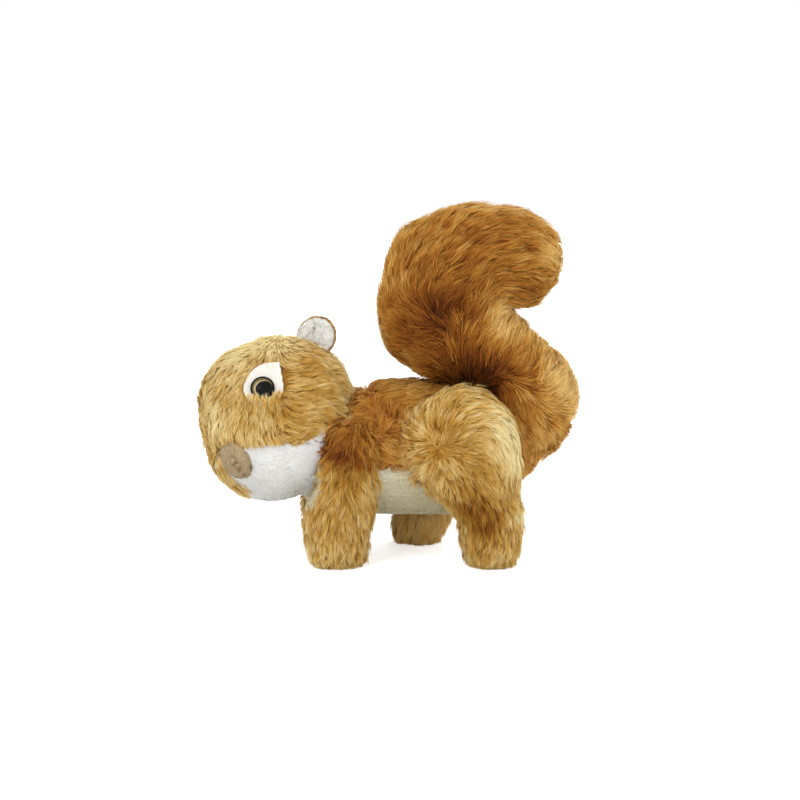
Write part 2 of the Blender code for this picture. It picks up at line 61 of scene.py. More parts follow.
# Camera of the photograph
PHOTO_SIZE = 800
PHOTO_CENTRE = (387.0, 386.5)
FOCAL_PIXELS = 1714.0
SENSOR = 36.0
CAMERA_DISTANCE = 1.2
CAMERA_ELEVATION = math.radians(7)
AIM_HEIGHT = 0.1186

# Light and surround: the lamps are name, place, diameter and watts, and the floor seen by the camera glows
# from the first of its strengths to the second between two distances from the toy
WORLD_STRENGTH = 0.88
LAMPS = (
    ("key_lamp", (-0.75, -1.0, 1.05), 0.9, 13.0),
    ("fill_lamp", (1.1, -0.9, 0.6), 1.0, 6.0),
    ("back_lamp", (0.3, 1.1, 1.1), 0.9, 9.0),
)
LAMP_AIM = (0.0, 0.0, 0.11)
FLOOR_GREY = 0.85
FLOOR_HALF = 6.0
FLOOR_DROP = 0.0004
FLOOR_GLOW = (0.6, 1.0)
FLOOR_GLOW_REACH = (0.25, 0.9)

# How far the right hind leg stands ahead of the left one at the foot, and between which heights it leans
HIND_STEP = 0.049
HIND_LEAN = (0.004, 0.102)

# Colours of the pile from root to tip: tone, then red, green and blue as a screen shows them
GOLDEN = (
    (0.0, 66, 32, 6),
    (0.2, 118, 66, 16),
    (0.4, 160, 102, 32),
    (0.55, 189, 139, 54),
    (0.7, 211, 167, 78),
    (0.85, 232, 204, 130),
    (1.0, 247, 235, 186),
)
BROWN = (
    (0.0, 60, 26, 6),
    (0.2, 112, 56, 14),
    (0.4, 152, 88, 26),
    (0.55, 180, 116, 40),
    (0.7, 200, 144, 60),
    (0.85, 222, 178, 92),
    (1.0, 240, 210, 140),
)
WHITE = ((0.0, 120, 114, 108), (0.35, 206, 204, 198), (0.6, 232, 232, 228), (1.0, 252, 252, 251))
CREAM = ((0.0, 150, 128, 70), (0.4, 200, 186, 140), (0.7, 228, 222, 196), (1.0, 246, 245, 238))
BEIGE = ((0.0, 92, 66, 42), (0.4, 150, 124, 90), (0.7, 192, 172, 136), (1.0, 222, 206, 174))


@dataclass
class Pile:
    """How one fabric's strands stand. Lengths are in millimetres and angles in degrees."""

    density: float
    length: float
    depth: float
    lift: float
    width: float = 0.42
    clump: float = 7.0
    wisp: float = 2.2
    gather: float = 0.35
    clump_turn: float = 9.0
    wisp_turn: float = 9.0
    strand_turn: float = 7.0
    clump_lift: float = 0.6
    wisp_lift: float = 0.7
    strand_lift: float = 0.5
    length_spread: float = 0.2
    tone: float = 0.5
    # Darker roots: painted shade where the strands shade each other at the skin
    root_painted_shade: float = -0.14
    # Paler tips: partly the pile's own paler tips and partly painted light shining through them
    tip_tint_and_painted_light: float = 0.18
    # Painted rim light: the pile is paler where the coat turns side-on to the camera
    rim_painted_light: float = 0.14
    clump_tone: float = 0.03
    wisp_tone: float = 0.045
    strand_tone: float = 0.06


HEAD_PILE = Pile(2.05, 9.0, 4.0, 1.6, width=0.38, clump=6.0, wisp=1.9, clump_turn=6, wisp_turn=7, tone=0.7)
TORSO_PILE = Pile(1.6, 11.0, 4.5, 1.8, clump_turn=12, wisp_turn=12, tone=0.54)
LEG_PILE = Pile(1.62, 10.0, 4.0, 1.5, clump=6.0, wisp_turn=10, wisp_lift=1.0, tone=0.62, root_painted_shade=-0.18,
                tip_tint_and_painted_light=0.22, wisp_tone=0.06)
TAIL_PILE = Pile(1.6, 15.0, 6.0, 1.8, width=0.48, wisp=2.6, clump_lift=1.0, wisp_lift=1.4, strand_lift=1.2,
                 tone=0.5, root_painted_shade=-0.2, tip_tint_and_painted_light=0.24, rim_painted_light=0.26, wisp_tone=0.06, strand_tone=0.08)
EAR_PILE = Pile(2.2, 3.4, 1.2, 0.2, clump=4.0, wisp=2.0, clump_lift=0.1, wisp_lift=0.15, strand_lift=0.1,
                tone=0.6)
LID_PILE = Pile(2.6, 3.6, 1.0, 4.6, wisp=1.6, tone=0.74, strand_turn=14)
SHORT_PILE = Pile(2.4, 2.6, 1.4, 0.6, width=0.4, clump=5.0, wisp=1.5, gather=0.2, clump_turn=10,
                  wisp_turn=14, strand_turn=20, clump_lift=0.1, wisp_lift=0.15, strand_lift=0.2, tone=0.6,
                  root_painted_shade=-0.08, tip_tint_and_painted_light=0.08, rim_painted_light=0.0, clump_tone=0.01, wisp_tone=0.015,
                  strand_tone=0.025)
MUZZLE_PILE = replace(SHORT_PILE, tone=0.80)
BELLY_PILE = replace(SHORT_PILE, tone=0.72)
CHEST_PILE = replace(SHORT_PILE, tone=0.66)
LINING_PILE = replace(SHORT_PILE, density=3.0, length=1.8, depth=0.6, lift=0.3, width=0.3, tone=0.36)
NOSE_PILE = replace(SHORT_PILE, density=5.0, length=2.4, depth=0.5, lift=0.3, width=0.3, wisp=1.2, tone=0.7,
                    strand_tone=0.07)
SHOULDER_PILE = replace(LEG_PILE, tone=0.5)
BESIDE_NOSE_PILE = replace(HEAD_PILE, density=5.0, lift=1.4)

# Which way the pile lies: a photo pixel, then an angle in degrees anticlockwise from the right
HEAD_FLOW = (
    (254, 342, 215), (230, 355, 225), (215, 375, 245), (203, 400, 262), (203, 430, 268), (213, 460, 275),
    (266, 350, 250), (250, 365, 250), (240, 380, 255), (232, 400, 262), (225, 420, 268), (250, 415, 275),
    (262, 420, 278), (245, 435, 275), (270, 432, 280), (278, 415, 285), (230, 435, 265), (212, 445, 270),
    (300, 375, 20), (300, 395, 15), (310, 410, 20), (302, 425, 30), (293, 432, 55), (320, 380, 5),
    (337, 393, -10), (337, 410, -20), (327, 428, -40), (312, 440, -60), (266, 340, 232), (276, 342, 245),
    (284, 348, 275), (291, 352, 330), (298, 350, 15), (300, 340, 35), (310, 357, 10), (325, 367, -10),
)
TORSO_FLOW = (
    (378, 379, 10), (410, 381, 5), (441, 392, -10), (394, 395, 15), (353, 398, 240), (346, 424, 250),
    (364, 408, 215), (366, 424, 150), (385, 410, 60), (380, 437, -30), (394, 456, -40), (402, 448, -45),
    (375, 455, -60), (330, 440, 240), (460, 395, -20),
)
FRONT_LEG_FLOW = (
    (345, 470, 260), (330, 488, 250), (338, 503, 265), (354, 511, 285), (322, 535, 255), (338, 551, 270),
    (357, 551, 280), (366, 480, -50), (330, 440, 240), (355, 440, 250), (370, 460, -60), (310, 500, 250),
    (368, 530, -80),
)
HIND_LEG_FLOW = (
    (446, 451, 10), (429, 452, 190), (437, 441, 95), (438, 462, 265), (410, 432, 165), (411, 456, 200),
    (425, 480, 235), (449, 488, 275), (473, 475, -35), (418, 413, 115), (433, 420, 80), (457, 425, 25),
    (481, 412, -5), (500, 435, -60), (508, 472, -80), (489, 495, -65), (465, 503, -75), (481, 527, -90),
    (485, 552, -105), (500, 552, -90), (513, 552, -75), (470, 552, -110),
)
TAIL_FLOW = (
    (419, 244, 48), (384, 279, 100), (384, 321, 155), (398, 356, 190), (412, 230, 55), (399, 231, 105),
    (468, 209, 28), (454, 244, 42), (440, 265, 42), (426, 286, 50), (412, 293, 62), (496, 223, -5),
    (524, 216, -18), (538, 223, -25), (531, 244, -5), (510, 258, 12), (545, 258, -10), (552, 279, -30),
    (524, 274, 0), (496, 274, 20), (510, 286, 0), (531, 293, -30), (517, 302, -40), (489, 288, 30),
    (468, 293, 38), (454, 286, 38), (412, 314, 150), (412, 335, 185), (433, 349, 225), (475, 314, 48),
    (510, 321, 75), (489, 328, 60), (524, 363, 60), (552, 370, 58), (566, 385, 50), (575, 395, 30),
    (538, 335, 50), (558, 352, 45), (468, 349, 70), (454, 363, 110), (412, 349, 165), (419, 370, 180),
    (482, 370, 75), (525, 430, -60), (535, 455, -65), (560, 440, -45), (572, 418, -15), (510, 410, -70),
    (495, 392, -90),
)
INNER_LEG_FLOW = ((430, 480, 250), (440, 520, 225), (410, 520, 290), (470, 540, 250), (500, 540, 280))
BELLY_FLOW = ((390, 490, 0), (430, 505, -10), (310, 480, -90))
MUZZLE_FLOW = ((260, 460, -20), (300, 460, -15), (265, 490, -60), (320, 450, -20))
EAR_FLOW = ((315, 330, 60),)
NOSE_FLOW = ((228, 450, 250), (236, 452, 270), (246, 458, 290), (226, 470, 240), (248, 472, 250))

# Where the pile is paler or darker: a photo pixel, a radius in pixels, and the change of tone
# Among these, painted light makes the forehead and the top of the head paler, and painted shade darkens the
# brow above the eye, the groove on the cheek and the cheek behind it
HEAD_TONES = (
    (240, 346, 26, 0.16), (262, 342, 12, 0.10), (205, 405, 20, 0.08), (228, 415, 30, 0.06),
    (256, 354, 7, -0.10), (284, 412, 5, -0.08), (290, 425, 4, -0.08), (318, 434, 12, 0.08),
    (275, 352, 7, -0.06), (278, 342, 11, 0.22), (246, 470, 10, 0.05), (312, 400, 30, -0.07),
    (318, 378, 20, -0.02), (304, 360, 16, -0.09),
)
TORSO_TONES = (
    (380, 440, 14, 0.16), (398, 458, 12, 0.14), (348, 400, 16, -0.06), (400, 382, 24, 0.06),
    (345, 430, 14, -0.08),
)
SHOULDER_TONES = ((335, 445, 16, -0.18), (345, 458, 12, -0.16), (362, 430, 12, 0.0))
FRONT_LEG_TONES = ((343, 464, 12, -0.18), (325, 520, 20, 0.06), (340, 555, 18, 0.16), (312, 545, 12, 0.10))
# Among these, painted light makes the thigh's upper right and its right edge paler, together with the fur's
# own paler colour there, and painted shade darkens the fur under the thigh and in the crease by the belly
HIND_LEG_TONES = (
    (500, 424, 24, 0.36), (518, 455, 16, 0.46), (478, 402, 16, 0.06), (468, 503, 15, -0.34),
    (488, 520, 15, -0.28), (425, 450, 20, 0.04), (500, 552, 16, 0.14), (415, 488, 8, -0.25),
    (518, 510, 9, 0.3), (430, 470, 18, 0.08), (437, 432, 8, -0.08),
)
# Painted bounce light: the inside of each hind leg is paler, with the warmer brown pile, where warm light
# bounces into the shade
INNER_LEG_TONES = ((488, 525, 60, 0.42),)
# Among these, painted light makes the tail's outer edges paler where they catch the light, and painted shadow
# darkens it where it hangs over the back, beside the thigh and in the hollow of its curl
TAIL_TONES = (
    (445, 322, 24, -0.34), (465, 387, 26, -0.44), (485, 382, 16, -0.28), (545, 255, 22, 0.34),
    (538, 270, 6, -0.16), (395, 235, 14, 0.12), (470, 212, 16, 0.10), (565, 396, 24, 0.38),
    (548, 350, 20, 0.20), (400, 350, 12, -0.05), (497, 335, 24, 0.34), (412, 340, 16, -0.12),
    (392, 315, 12, -0.06), (520, 290, 14, -0.10), (550, 385, 22, 0.24), (470, 262, 30, -0.05),
    (530, 433, 24, 0.20), (430, 350, 16, -0.06),
)
# Painted shade: the belly darker towards its lower part, and the chest darker under the chin
BELLY_TONES = ((425, 500, 24, -0.05), (450, 508, 16, -0.10), (388, 478, 12, 0.12), (305, 480, 20, -0.1))
# Painted shade: a line of darker spots along the crease of the muzzle's seam, and darker in the fold below it
# and under the muzzle
MUZZLE_TONES = (
    (284, 448, 3, -0.10), (284, 455, 3, -0.12), (284, 462, 3, -0.13), (284, 470, 3, -0.12),
    (284, 478, 4, -0.10), (288, 487, 9, -0.14), (262, 492, 12, -0.06),
)
# Painted shade: a dark line along the crease of the ear's lining
EAR_TONES = ((315, 325, 2.5, -0.25), (313, 329, 2.5, -0.35), (311, 333, 2.5, -0.35), (309, 337, 2.5, -0.2))
# The first four spots darken the pinched crease as painted shade; the others darken the pad along its top and
# right side
NOSE_TONES = (
    (233, 459, 3, -0.25), (236, 463, 3, -0.35), (240, 468, 3, -0.35), (243, 473, 3, -0.25),
    (247, 448, 4, -0.3), (251, 456, 3, -0.4), (252, 465, 3, -0.4), (238, 443, 4, -0.2),
)

# Where the pile lies smoother, below 0, or more ruffled, above 0: a photo pixel, a radius, the change
HEAD_RUFFLES = ((278, 342, 9, 1.4), (315, 395, 25, -0.4), (240, 346, 25, -0.3))
TORSO_RUFFLES = ((376, 427, 8, 10.0), (376, 424, 13, 3.0), (392, 388, 25, -0.3))
FRONT_LEG_RUFFLES = ((343, 465, 14, 1.2),)
HIND_LEG_RUFFLES = (
    (441, 449, 8, 10.0), (437, 451, 10, 3.2), (490, 420, 30, -0.7), (515, 460, 22, -0.7),
    (470, 510, 25, -0.4), (420, 425, 10, 0.6),
)
TAIL_RUFFLES = ((445, 320, 22, 2.6), (480, 250, 40, -0.3), (430, 345, 16, 0.8))
EVEN = ((0.0, 0.0, 1.0, 0.0),)

# Where a node's stuffing is fuller, above 0, or flatter: a photo pixel, a radius in pixels, and millimetres
HEAD_STUFFING = ((250, 345, 24, -2.4), (279, 339, 7, 0.8), (199, 448, 16, -3.0))
FRONT_LEG_STUFFING = ((300, 548, 14, -2.5), (306, 478, 15, -6.0), (322, 440, 14, -6.0))
TAIL_STUFFING = (
    (417, 212, 16, -5.5), (560, 290, 20, -4.5), (540, 306, 10, -1.5), (548, 463, 18, -7.0),
    (574, 395, 14, -2.0), (378, 262, 14, -2.5), (545, 340, 20, -2.5), (545, 212, 15, -4.0),
)
STUFFING = {
    "head": HEAD_STUFFING,
    "muzzle": HEAD_STUFFING,
    "front_left_leg": FRONT_LEG_STUFFING,
    "front_right_leg": FRONT_LEG_STUFFING,
    "tail": TAIL_STUFFING,
}

# Where strands of another colour grow, as outlines in photo pixels: the upper part of the front leg, the
# chest beside it, the white that runs up behind the cheek and the golden fur beside the nose
SHOULDER = ((280, 370), (400, 370), (400, 470), (372, 462), (345, 456), (322, 462), (280, 480))
CHEST = ((284, 446), (320, 452), (322, 482), (319, 507), (296, 509), (284, 490))
JOWL = ((290, 449), (306, 441), (320, 431), (336, 420), (348, 432), (338, 464), (292, 470))
BESIDE_NOSE = (
    (196, 430), (223, 438), (225, 468), (238, 480), (247, 486), (241, 494), (224, 488), (206, 472),
)

# What shows of the eye's felt patch and button, and the fur below that stands up over the button's edge
EYE_OPENING = (
    (246, 391), (247, 380), (250, 372), (257, 365), (267, 361), (275, 360), (281, 363), (284, 371),
    (285, 380), (282, 389), (278, 394), (268, 397), (256, 397), (249, 395),
)
LID = (
    (248, 397), (257, 400), (267, 401), (276, 398), (281, 394), (283, 398), (277, 405), (264, 407),
    (250, 404),
)
LID_FLOW = ((252, 400, 120), (266, 404, 92), (280, 400, 60))

# How strands bend: the shares of their height and of their length at which the middle stands, and how much
# of the bundle's pull reaches it
MIDDLE_RISE = 0.78
MIDDLE_REACH = 0.38
MIDDLE_GATHER = 0.35
LOWEST_STRAND = 0.0003
RUFFLE_RANGE = (0.2, 4.0)
LIFT_RANGE = (-1.2, 4.0)

# The ribbon of a strand: its width at the root as a share, the spread of widths, how far it rolls in degrees,
# and how much of its normal comes from the coat and from its own face
ROOT_WIDTH = 0.8
WIDTH_SPREAD = (0.7, 1.3)
STRAND_ROLL = 30
COAT_NORMAL = 0.7
OWN_NORMAL = 0.3

# Slow changes over the whole coat: how far in degrees and in tone, and over which length in metres
DRIFT_TURN = 10.0
DRIFT_TURN_LENGTH = 0.03
DRIFT_TONE = 0.04
DRIFT_TONE_LENGTH = 0.02

# Strands near a short-piled neighbour are cut: the share left at its seam, and where they are whole again
TRIMMED_SHARE = 0.35
TRIMMED_REACH = (0.0005, 0.010)

# How deep the skins lie below their solids, in millimetres, and the size of their faces
HEAD_SINK = 3.4
TORSO_SINK = 3.4
TAIL_SINK = 4.5
LEG_SINK = 3.0
PANEL_SINK = 0.7
EAR_SINK = 0.6
NOSE_SINK = 0.3
SKIN_FACE = 0.003
PANEL_FACE = 0.0018
EAR_FACE = 0.0012
SMALL_FACE = 0.0009
NOSE_FACE = 0.0008
COAT_FACE = 0.0022
EAR_COAT_FACE = 0.0011


def linear(colour):
    """The linear value of a colour given as screen values from 0 to 255."""
    c = np.array(colour, float) / 255
    return np.where(c <= 0.04045, c / 12.92, ((c + 0.055) / 1.055) ** 2.4)


def unit(vectors):
    return vectors / np.maximum(np.linalg.norm(vectors, axis=-1, keepdims=True), 1e-12)


def to_photo(points):
    """Pixel places in the photograph's frame."""
    sine, cosine = math.sin(CAMERA_ELEVATION), math.cos(CAMERA_ELEVATION)
    eye = np.array((0.0, -CAMERA_DISTANCE * cosine, AIM_HEIGHT + CAMERA_DISTANCE * sine))
    seen = points - eye
    depth = seen @ np.array((0.0, cosine, -sine))
    across = PHOTO_CENTRE[0] + FOCAL_PIXELS * seen[:, 0] / depth
    down = PHOTO_CENTRE[1] - FOCAL_PIXELS * (seen @ np.array((0.0, sine, cosine))) / depth
    return np.stack([across, down], 1)


def flow_at(pixels, guides, reach=20.0):
    """Directions in the picture, as world vectors, blended from the guides near each pixel."""
    guides = np.array(guides, float)
    away = ((pixels[:, None, :] - guides[None, :, :2]) ** 2).sum(2) / reach**2
    weight = np.exp(-away) + 1e-4 / (1 + away)
    angle = np.radians(guides[:, 2])
    right, up = weight @ np.cos(angle), weight @ np.sin(angle)
    sine, cosine = math.sin(CAMERA_ELEVATION), math.cos(CAMERA_ELEVATION)
    return unit(np.stack([right, up * sine, up * cosine], 1))


def spots_at(pixels, spots):
    """The sum of round, soft-edged spots at each pixel."""
    spots = np.array(spots, float)
    away = ((pixels[:, None, :] - spots[None, :, :2]) ** 2).sum(2) / spots[:, 2] ** 2
    return np.exp(-away) @ spots[:, 3]


def within(pixels, outline):
    """True for each pixel inside a closed outline."""
    inside = np.zeros(len(pixels), bool)
    x, y = pixels.T
    for (ax, ay), (bx, by) in zip(outline, outline[1:] + outline[:1]):
        crosses = (ay > y) != (by > y)
        inside ^= crosses & (x < ax + (y - ay) * (bx - ax) / ((by - ay) or 1e-9))
    return inside


def ripple(points, scale, seed):
    """A smooth random value from about -1 to 1 that changes over the given length."""
    random = np.random.default_rng(seed)
    total = np.zeros(len(points))
    for _ in range(5):
        wave = unit(random.normal(size=(1, 3)))[0] * 2 * math.pi / scale * random.uniform(0.6, 1.6)
        total += np.sin(points @ wave + random.uniform(0, 2 * math.pi))
    return total / 2.5


def turned(vectors, axes, angles):
    """Each vector turned about its axis by its angle in radians."""
    c, s = np.cos(angles)[:, None], np.sin(angles)[:, None]
    along = (axes * vectors).sum(1, keepdims=True)
    return vectors * c + np.cross(axes, vectors) * s + axes * along * (1 - c)


def smooth_step(value, low, high):
    share = np.clip((value - low) / (high - low), 0, 1)
    return share * share * (3 - 2 * share)


def mesh_arrays(mesh):
    """Points, triangles and point normals of a mesh."""
    mesh.calc_loop_triangles()
    points = np.empty(len(mesh.vertices) * 3)
    mesh.vertices.foreach_get("co", points)
    triangles = np.empty(len(mesh.loop_triangles) * 3, np.int32)
    mesh.loop_triangles.foreach_get("vertices", triangles)
    normals = np.empty(len(mesh.vertices) * 3)
    mesh.vertices.foreach_get("normal", normals)
    return points.reshape(-1, 3), triangles.reshape(-1, 3), normals.reshape(-1, 3)


def set_points(mesh, points):
    mesh.vertices.foreach_set("co", points.ravel())
    mesh.update()


def node_points(node):
    return mesh_arrays(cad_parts[node].data)[0]


def node_tree(node):
    points, triangles, _ = mesh_arrays(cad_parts[node].data)
    return BVHTree.FromPolygons(points.tolist(), triangles.tolist())


def add_object(name, mesh, slot=None):
    obj = bpy.data.objects.new(name, mesh)
    bpy.context.scene.collection.objects.link(obj)
    if slot:
        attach(obj, "root")
    return obj


def stuffed_form(name, nodes, voxel, smoothing=6, grow=0.0):
    """A closed, smooth mesh of the outer shape of these CAD nodes, grown along its normals."""
    shell = bmesh.new()
    for node in nodes:
        shell.from_mesh(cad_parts[node].data)
    mesh = bpy.data.meshes.new(name)
    shell.to_mesh(mesh)
    shell.free()
    obj = add_object(name, mesh)
    remesh = obj.modifiers.new("remesh", "REMESH")
    remesh.mode = "VOXEL"
    remesh.voxel_size = voxel
    smooth = obj.modifiers.new("smooth", "SMOOTH")
    smooth.factor = 0.5
    smooth.iterations = smoothing
    graph = bpy.context.evaluated_depsgraph_get()
    formed = bpy.data.meshes.new_from_object(obj.evaluated_get(graph))
    bpy.data.objects.remove(obj)
    bpy.data.meshes.remove(mesh)
    formed.name = name
    formed.materials.clear()
    formed.shade_smooth()
    if grow:
        points, _, normals = mesh_arrays(formed)
        set_points(formed, points + normals * grow)
    return formed


def stuffing_at(points, normals, node):
    """How far the guides move a node's surface outwards at each point, as vectors."""
    pixels = to_photo(near_side(points, normals)[0])
    return normals * (spots_at(pixels, STUFFING.get(node, EVEN)) * MM)[:, None]


class Surface:
    """A form that pile grows on: its triangles, the CAD node that each belongs to, and a search tree."""

    def __init__(self, mesh, owners):
        self.points, self.triangles, self.normals = mesh_arrays(mesh)
        trees = [node_tree(node) for node in owners]
        away = np.array([[tree.find_nearest(p)[3] for tree in trees] for p in self.points.tolist()])
        owner = away.argmin(1)
        for index, node in enumerate(owners):
            mine = owner == index
            self.points[mine] += stuffing_at(self.points[mine], self.normals[mine], node)
        self.tree = BVHTree.FromPolygons(self.points.tolist(), self.triangles.tolist())
        a, b, c = owner[self.triangles].T
        self.owner = np.array(owners)[np.where(b == c, b, a)]

    def scattered(self, nodes, density, random):
        """Random places on the triangles of these nodes, so many a square millimetre, and their normals."""
        mine = self.triangles[np.isin(self.owner, nodes)]
        corners = self.points[mine]
        first, second = corners[:, 1] - corners[:, 0], corners[:, 2] - corners[:, 0]
        area = np.linalg.norm(np.cross(first, second), axis=1) / 2
        count = int(area.sum() / MM**2 * density)
        chosen = random.choice(len(mine), count, p=area / area.sum())
        a, b = random.random((2, count))
        over = a + b > 1
        a[over], b[over] = 1 - a[over], 1 - b[over]
        weights = np.stack([1 - a - b, a, b], 1)[:, :, None]
        return (corners[chosen] * weights).sum(1), unit((self.normals[mine[chosen]] * weights).sum(1))

    def foot_points(self, points):
        """The nearest point of the surface to each point, and the normal there."""
        found = [self.tree.find_nearest(p) for p in points.tolist()]
        return np.array([f[0] for f in found]), np.array([f[1] for f in found])


def distance_to(points, nodes):
    """How far each point lies from the nearest of these CAD nodes; negative inside one."""
    nearest = np.full(len(points), np.inf)
    for node in nodes:
        tree = node_tree(node)
        low, high = (np.array(v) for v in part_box(node))
        near = ((points > low - 0.015) & (points < high + 0.015)).all(1)
        for i in np.flatnonzero(near):
            spot, normal, _, away = tree.find_nearest(points[i])
            inside = (Vector(points[i]) - spot).dot(normal) < 0
            nearest[i] = min(nearest[i], -away if inside else away)
    return nearest


def as_seen(points, normals):
    """Leaves everything where it is."""
    return points, normals, lambda v: v


def near_side(points, normals):
    """Mirrors what lies on the far side across the plane Y = 0; returns how to mirror vectors back too."""
    flip = np.where(points[:, 1:2] > 0, np.array((1.0, -1.0, 1.0)), 1.0)
    return points * flip, normals * flip, lambda v: v * flip


def near_hind_leg(points, normals):
    """The same, with the far leg's step ahead undone."""
    near, near_normals, back = near_side(points, normals)
    lean = HIND_STEP * (1 - smooth_step(points[:, 2], *HIND_LEAN)) * (points[:, 1] > 0)
    return near + lean[:, None] * np.array((1.0, 0.0, 0.0)), near_normals, back


def near_half_of_head(points, normals):
    """The same across the head's own middle plane, which lies halfway between the eyes."""
    left, right = node_points("left_eye").mean(0), node_points("right_eye").mean(0)
    axis, middle = unit(left - right), (left + right) / 2
    side = (points - middle) @ axis
    far = (side < 0)[:, None]
    along_plane = smooth_step(np.abs(side), 0.0, 0.012)[:, None]

    def mirror(v):
        return np.where(far, v - 2 * (v @ axis)[:, None] * axis, v)

    def back(v):
        return mirror(v) - (1 - along_plane) * (v @ axis)[:, None] * axis * np.where(far, -1, 1)

    return np.where(far, points - 2 * side[:, None] * axis, points), mirror(normals), back


@dataclass
class Fabric:
    """One fabric of the plush: where it grows and what the guides say of it.

    The fold says how its far half is mirrored onto the half that the guides are drawn for. Its strands are
    cut short near the nodes in trimmed_at, and left out in the openings or outside only_in, whose edges are
    blurred by the blend in pixels. Inner chooses the side of a leg that faces the other leg, or its outside.
    """

    name: str
    nodes: tuple
    slot: str
    pile: Pile
    flow: tuple
    tones: tuple = EVEN
    ruffles: tuple = EVEN
    fold: object = near_side
    trimmed_at: tuple = ()
    openings: tuple = ()
    only_in: tuple = ()
    blend: float = 0.0
    inner: object = None
    pieces: int = 1
    colours: tuple = GOLDEN


def grouped(places, spacing, random):
    """Splits places into groups about so far apart; returns each place's group and the groups' middles."""
    sample = random.choice(len(places), min(300, len(places)), replace=False)
    tree = KDTree(len(places))
    for i, p in enumerate(places.tolist()):
        tree.insert(p, i)
    tree.balance()
    reach = np.median([tree.find_n(places[i], 9)[-1][2] for i in sample])
    area = math.pi * reach**2 / 8 * len(places)
    count = min(max(int(area / (spacing * MM) ** 2), 4), len(places))
    middles = random.choice(len(places), count, replace=False)
    tree = KDTree(count)
    for i, m in enumerate(middles):
        tree.insert(places[m], i)
    tree.balance()
    return np.array([tree.find(p)[1] for p in places.tolist()]), middles


def grow_pile(surface, fabric, seed):
    """The strands of one fabric: each leaves the skin, bends over and lies along the flow."""
    random = np.random.default_rng(RANDOM_SEED + seed)
    pile = fabric.pile
    places, normals = surface.scattered(fabric.nodes, pile.density, random)
    near, near_normals, _ = fabric.fold(places, normals)
    pixels = to_photo(near)
    kept = np.ones(len(places), bool)
    if fabric.inner is not None:
        kept &= (near_normals[:, 1] > 0.1) == fabric.inner
    blended = pixels + fabric.blend * random.normal(size=pixels.shape)
    for opening in fabric.openings:
        kept &= ~within(blended, opening)
    if fabric.only_in:
        kept &= within(blended, fabric.only_in)
    places, normals = places[kept], normals[kept]
    count = len(places)
    near, near_normals, back = fabric.fold(places, normals)
    pixels = to_photo(near)
    lie = flow_at(pixels, fabric.flow)
    lie = unit(back(unit(lie - (lie * near_normals).sum(1, keepdims=True) * near_normals)))
    ruffle = np.clip(1 + spots_at(pixels, fabric.ruffles), *RUFFLE_RANGE)
    lie = turned(lie, normals, np.radians(DRIFT_TURN) * ripple(places, DRIFT_TURN_LENGTH, seed) * ruffle)

    clump, clumps = grouped(places, pile.clump, random)
    wisp, wisps = grouped(places, pile.wisp, random)

    def scatter(per_clump, per_wisp, per_strand):
        """Random values for the wisps and for the strands, made of all three levels."""
        for_clumps = per_clump * random.normal(size=len(clumps))
        for_wisps = for_clumps[clump[wisps]] + per_wisp * random.normal(size=len(wisps))
        return for_wisps, for_wisps[wisp] + per_strand * random.normal(size=count)

    wisp_angle, angle = scatter(pile.clump_turn, pile.wisp_turn, pile.strand_turn)
    wisp_rise, rise = scatter(pile.clump_lift, pile.wisp_lift, pile.strand_lift)
    wisp_size, size = scatter(0.0, pile.length_spread * 0.6, pile.length_spread)
    _, shade = scatter(pile.clump_tone, pile.wisp_tone, pile.strand_tone)
    angle, wisp_angle = np.radians(angle) * ruffle, np.radians(wisp_angle) * ruffle[wisps]
    size, wisp_size = np.clip(1 + size, 0.5, 1.6), np.clip(1 + wisp_size, 0.6, 1.5)
    rise = np.clip(rise * ruffle**0.5, *LIFT_RANGE)
    wisp_rise = np.clip(wisp_rise * ruffle[wisps] ** 0.5, *LIFT_RANGE)
    if fabric.trimmed_at:
        whole = smooth_step(distance_to(places, fabric.trimmed_at), *TRIMMED_REACH)
        shorter = TRIMMED_SHARE + (1 - TRIMMED_SHARE) * whole
        size, wisp_size = size * shorter, wisp_size * shorter[wisps]

    def bent(at, turn, up, long):
        """Root, middle and tip of the strands at these places; tips keep their height above the surface."""
        way = turned(lie[at], normals[at], turn)
        length = (pile.length * MM * long)[:, None]
        height = ((pile.depth + pile.lift + up) * MM)[:, None]
        root = places[at] - normals[at] * (pile.depth * MM)
        tip, tip_normal = surface.foot_points(places[at] + way * length)
        tip = tip + tip_normal * ((pile.lift + up) * MM)[:, None]
        return root, root + normals[at] * height * MIDDLE_RISE + way * length * MIDDLE_REACH, tip

    root, middle, tip = bent(np.arange(count), angle, rise, size)
    _, wisp_middle, wisp_tip = bent(wisps, wisp_angle, wisp_rise, wisp_size)
    tip = tip + (wisp_tip[wisp] - tip) * pile.gather
    middle = middle + (wisp_middle[wisp] - middle) * pile.gather * MIDDLE_GATHER
    lines = np.stack([root, middle, tip], 1)
    lines[:, :, 2] = np.maximum(lines[:, :, 2], LOWEST_STRAND)

    # Painted rim light: paler pile where the coat turns side-on to the camera; the tone spots add painted
    # light and shade too
    edge = (1 - near_normals[:, 1] ** 2) ** 1.5
    shade = shade + pile.tone + pile.rim_painted_light * edge + spots_at(pixels, fabric.tones)
    shade = shade + DRIFT_TONE * ripple(places, DRIFT_TONE_LENGTH, seed + 1)
    parts = np.array_split(random.permutation(count), fabric.pieces)
    for index, part in enumerate(parts):
        name = f"{fabric.name}_pile" + (f"_{index + 1}" if fabric.pieces > 1 else "")
        mesh = strand_mesh(name, lines[part], normals[part], shade[part], pile, random)
        mesh.materials.append(strand_material(f"{fabric.name}_strands", fabric.colours))
        add_object(name, mesh, fabric.slot)


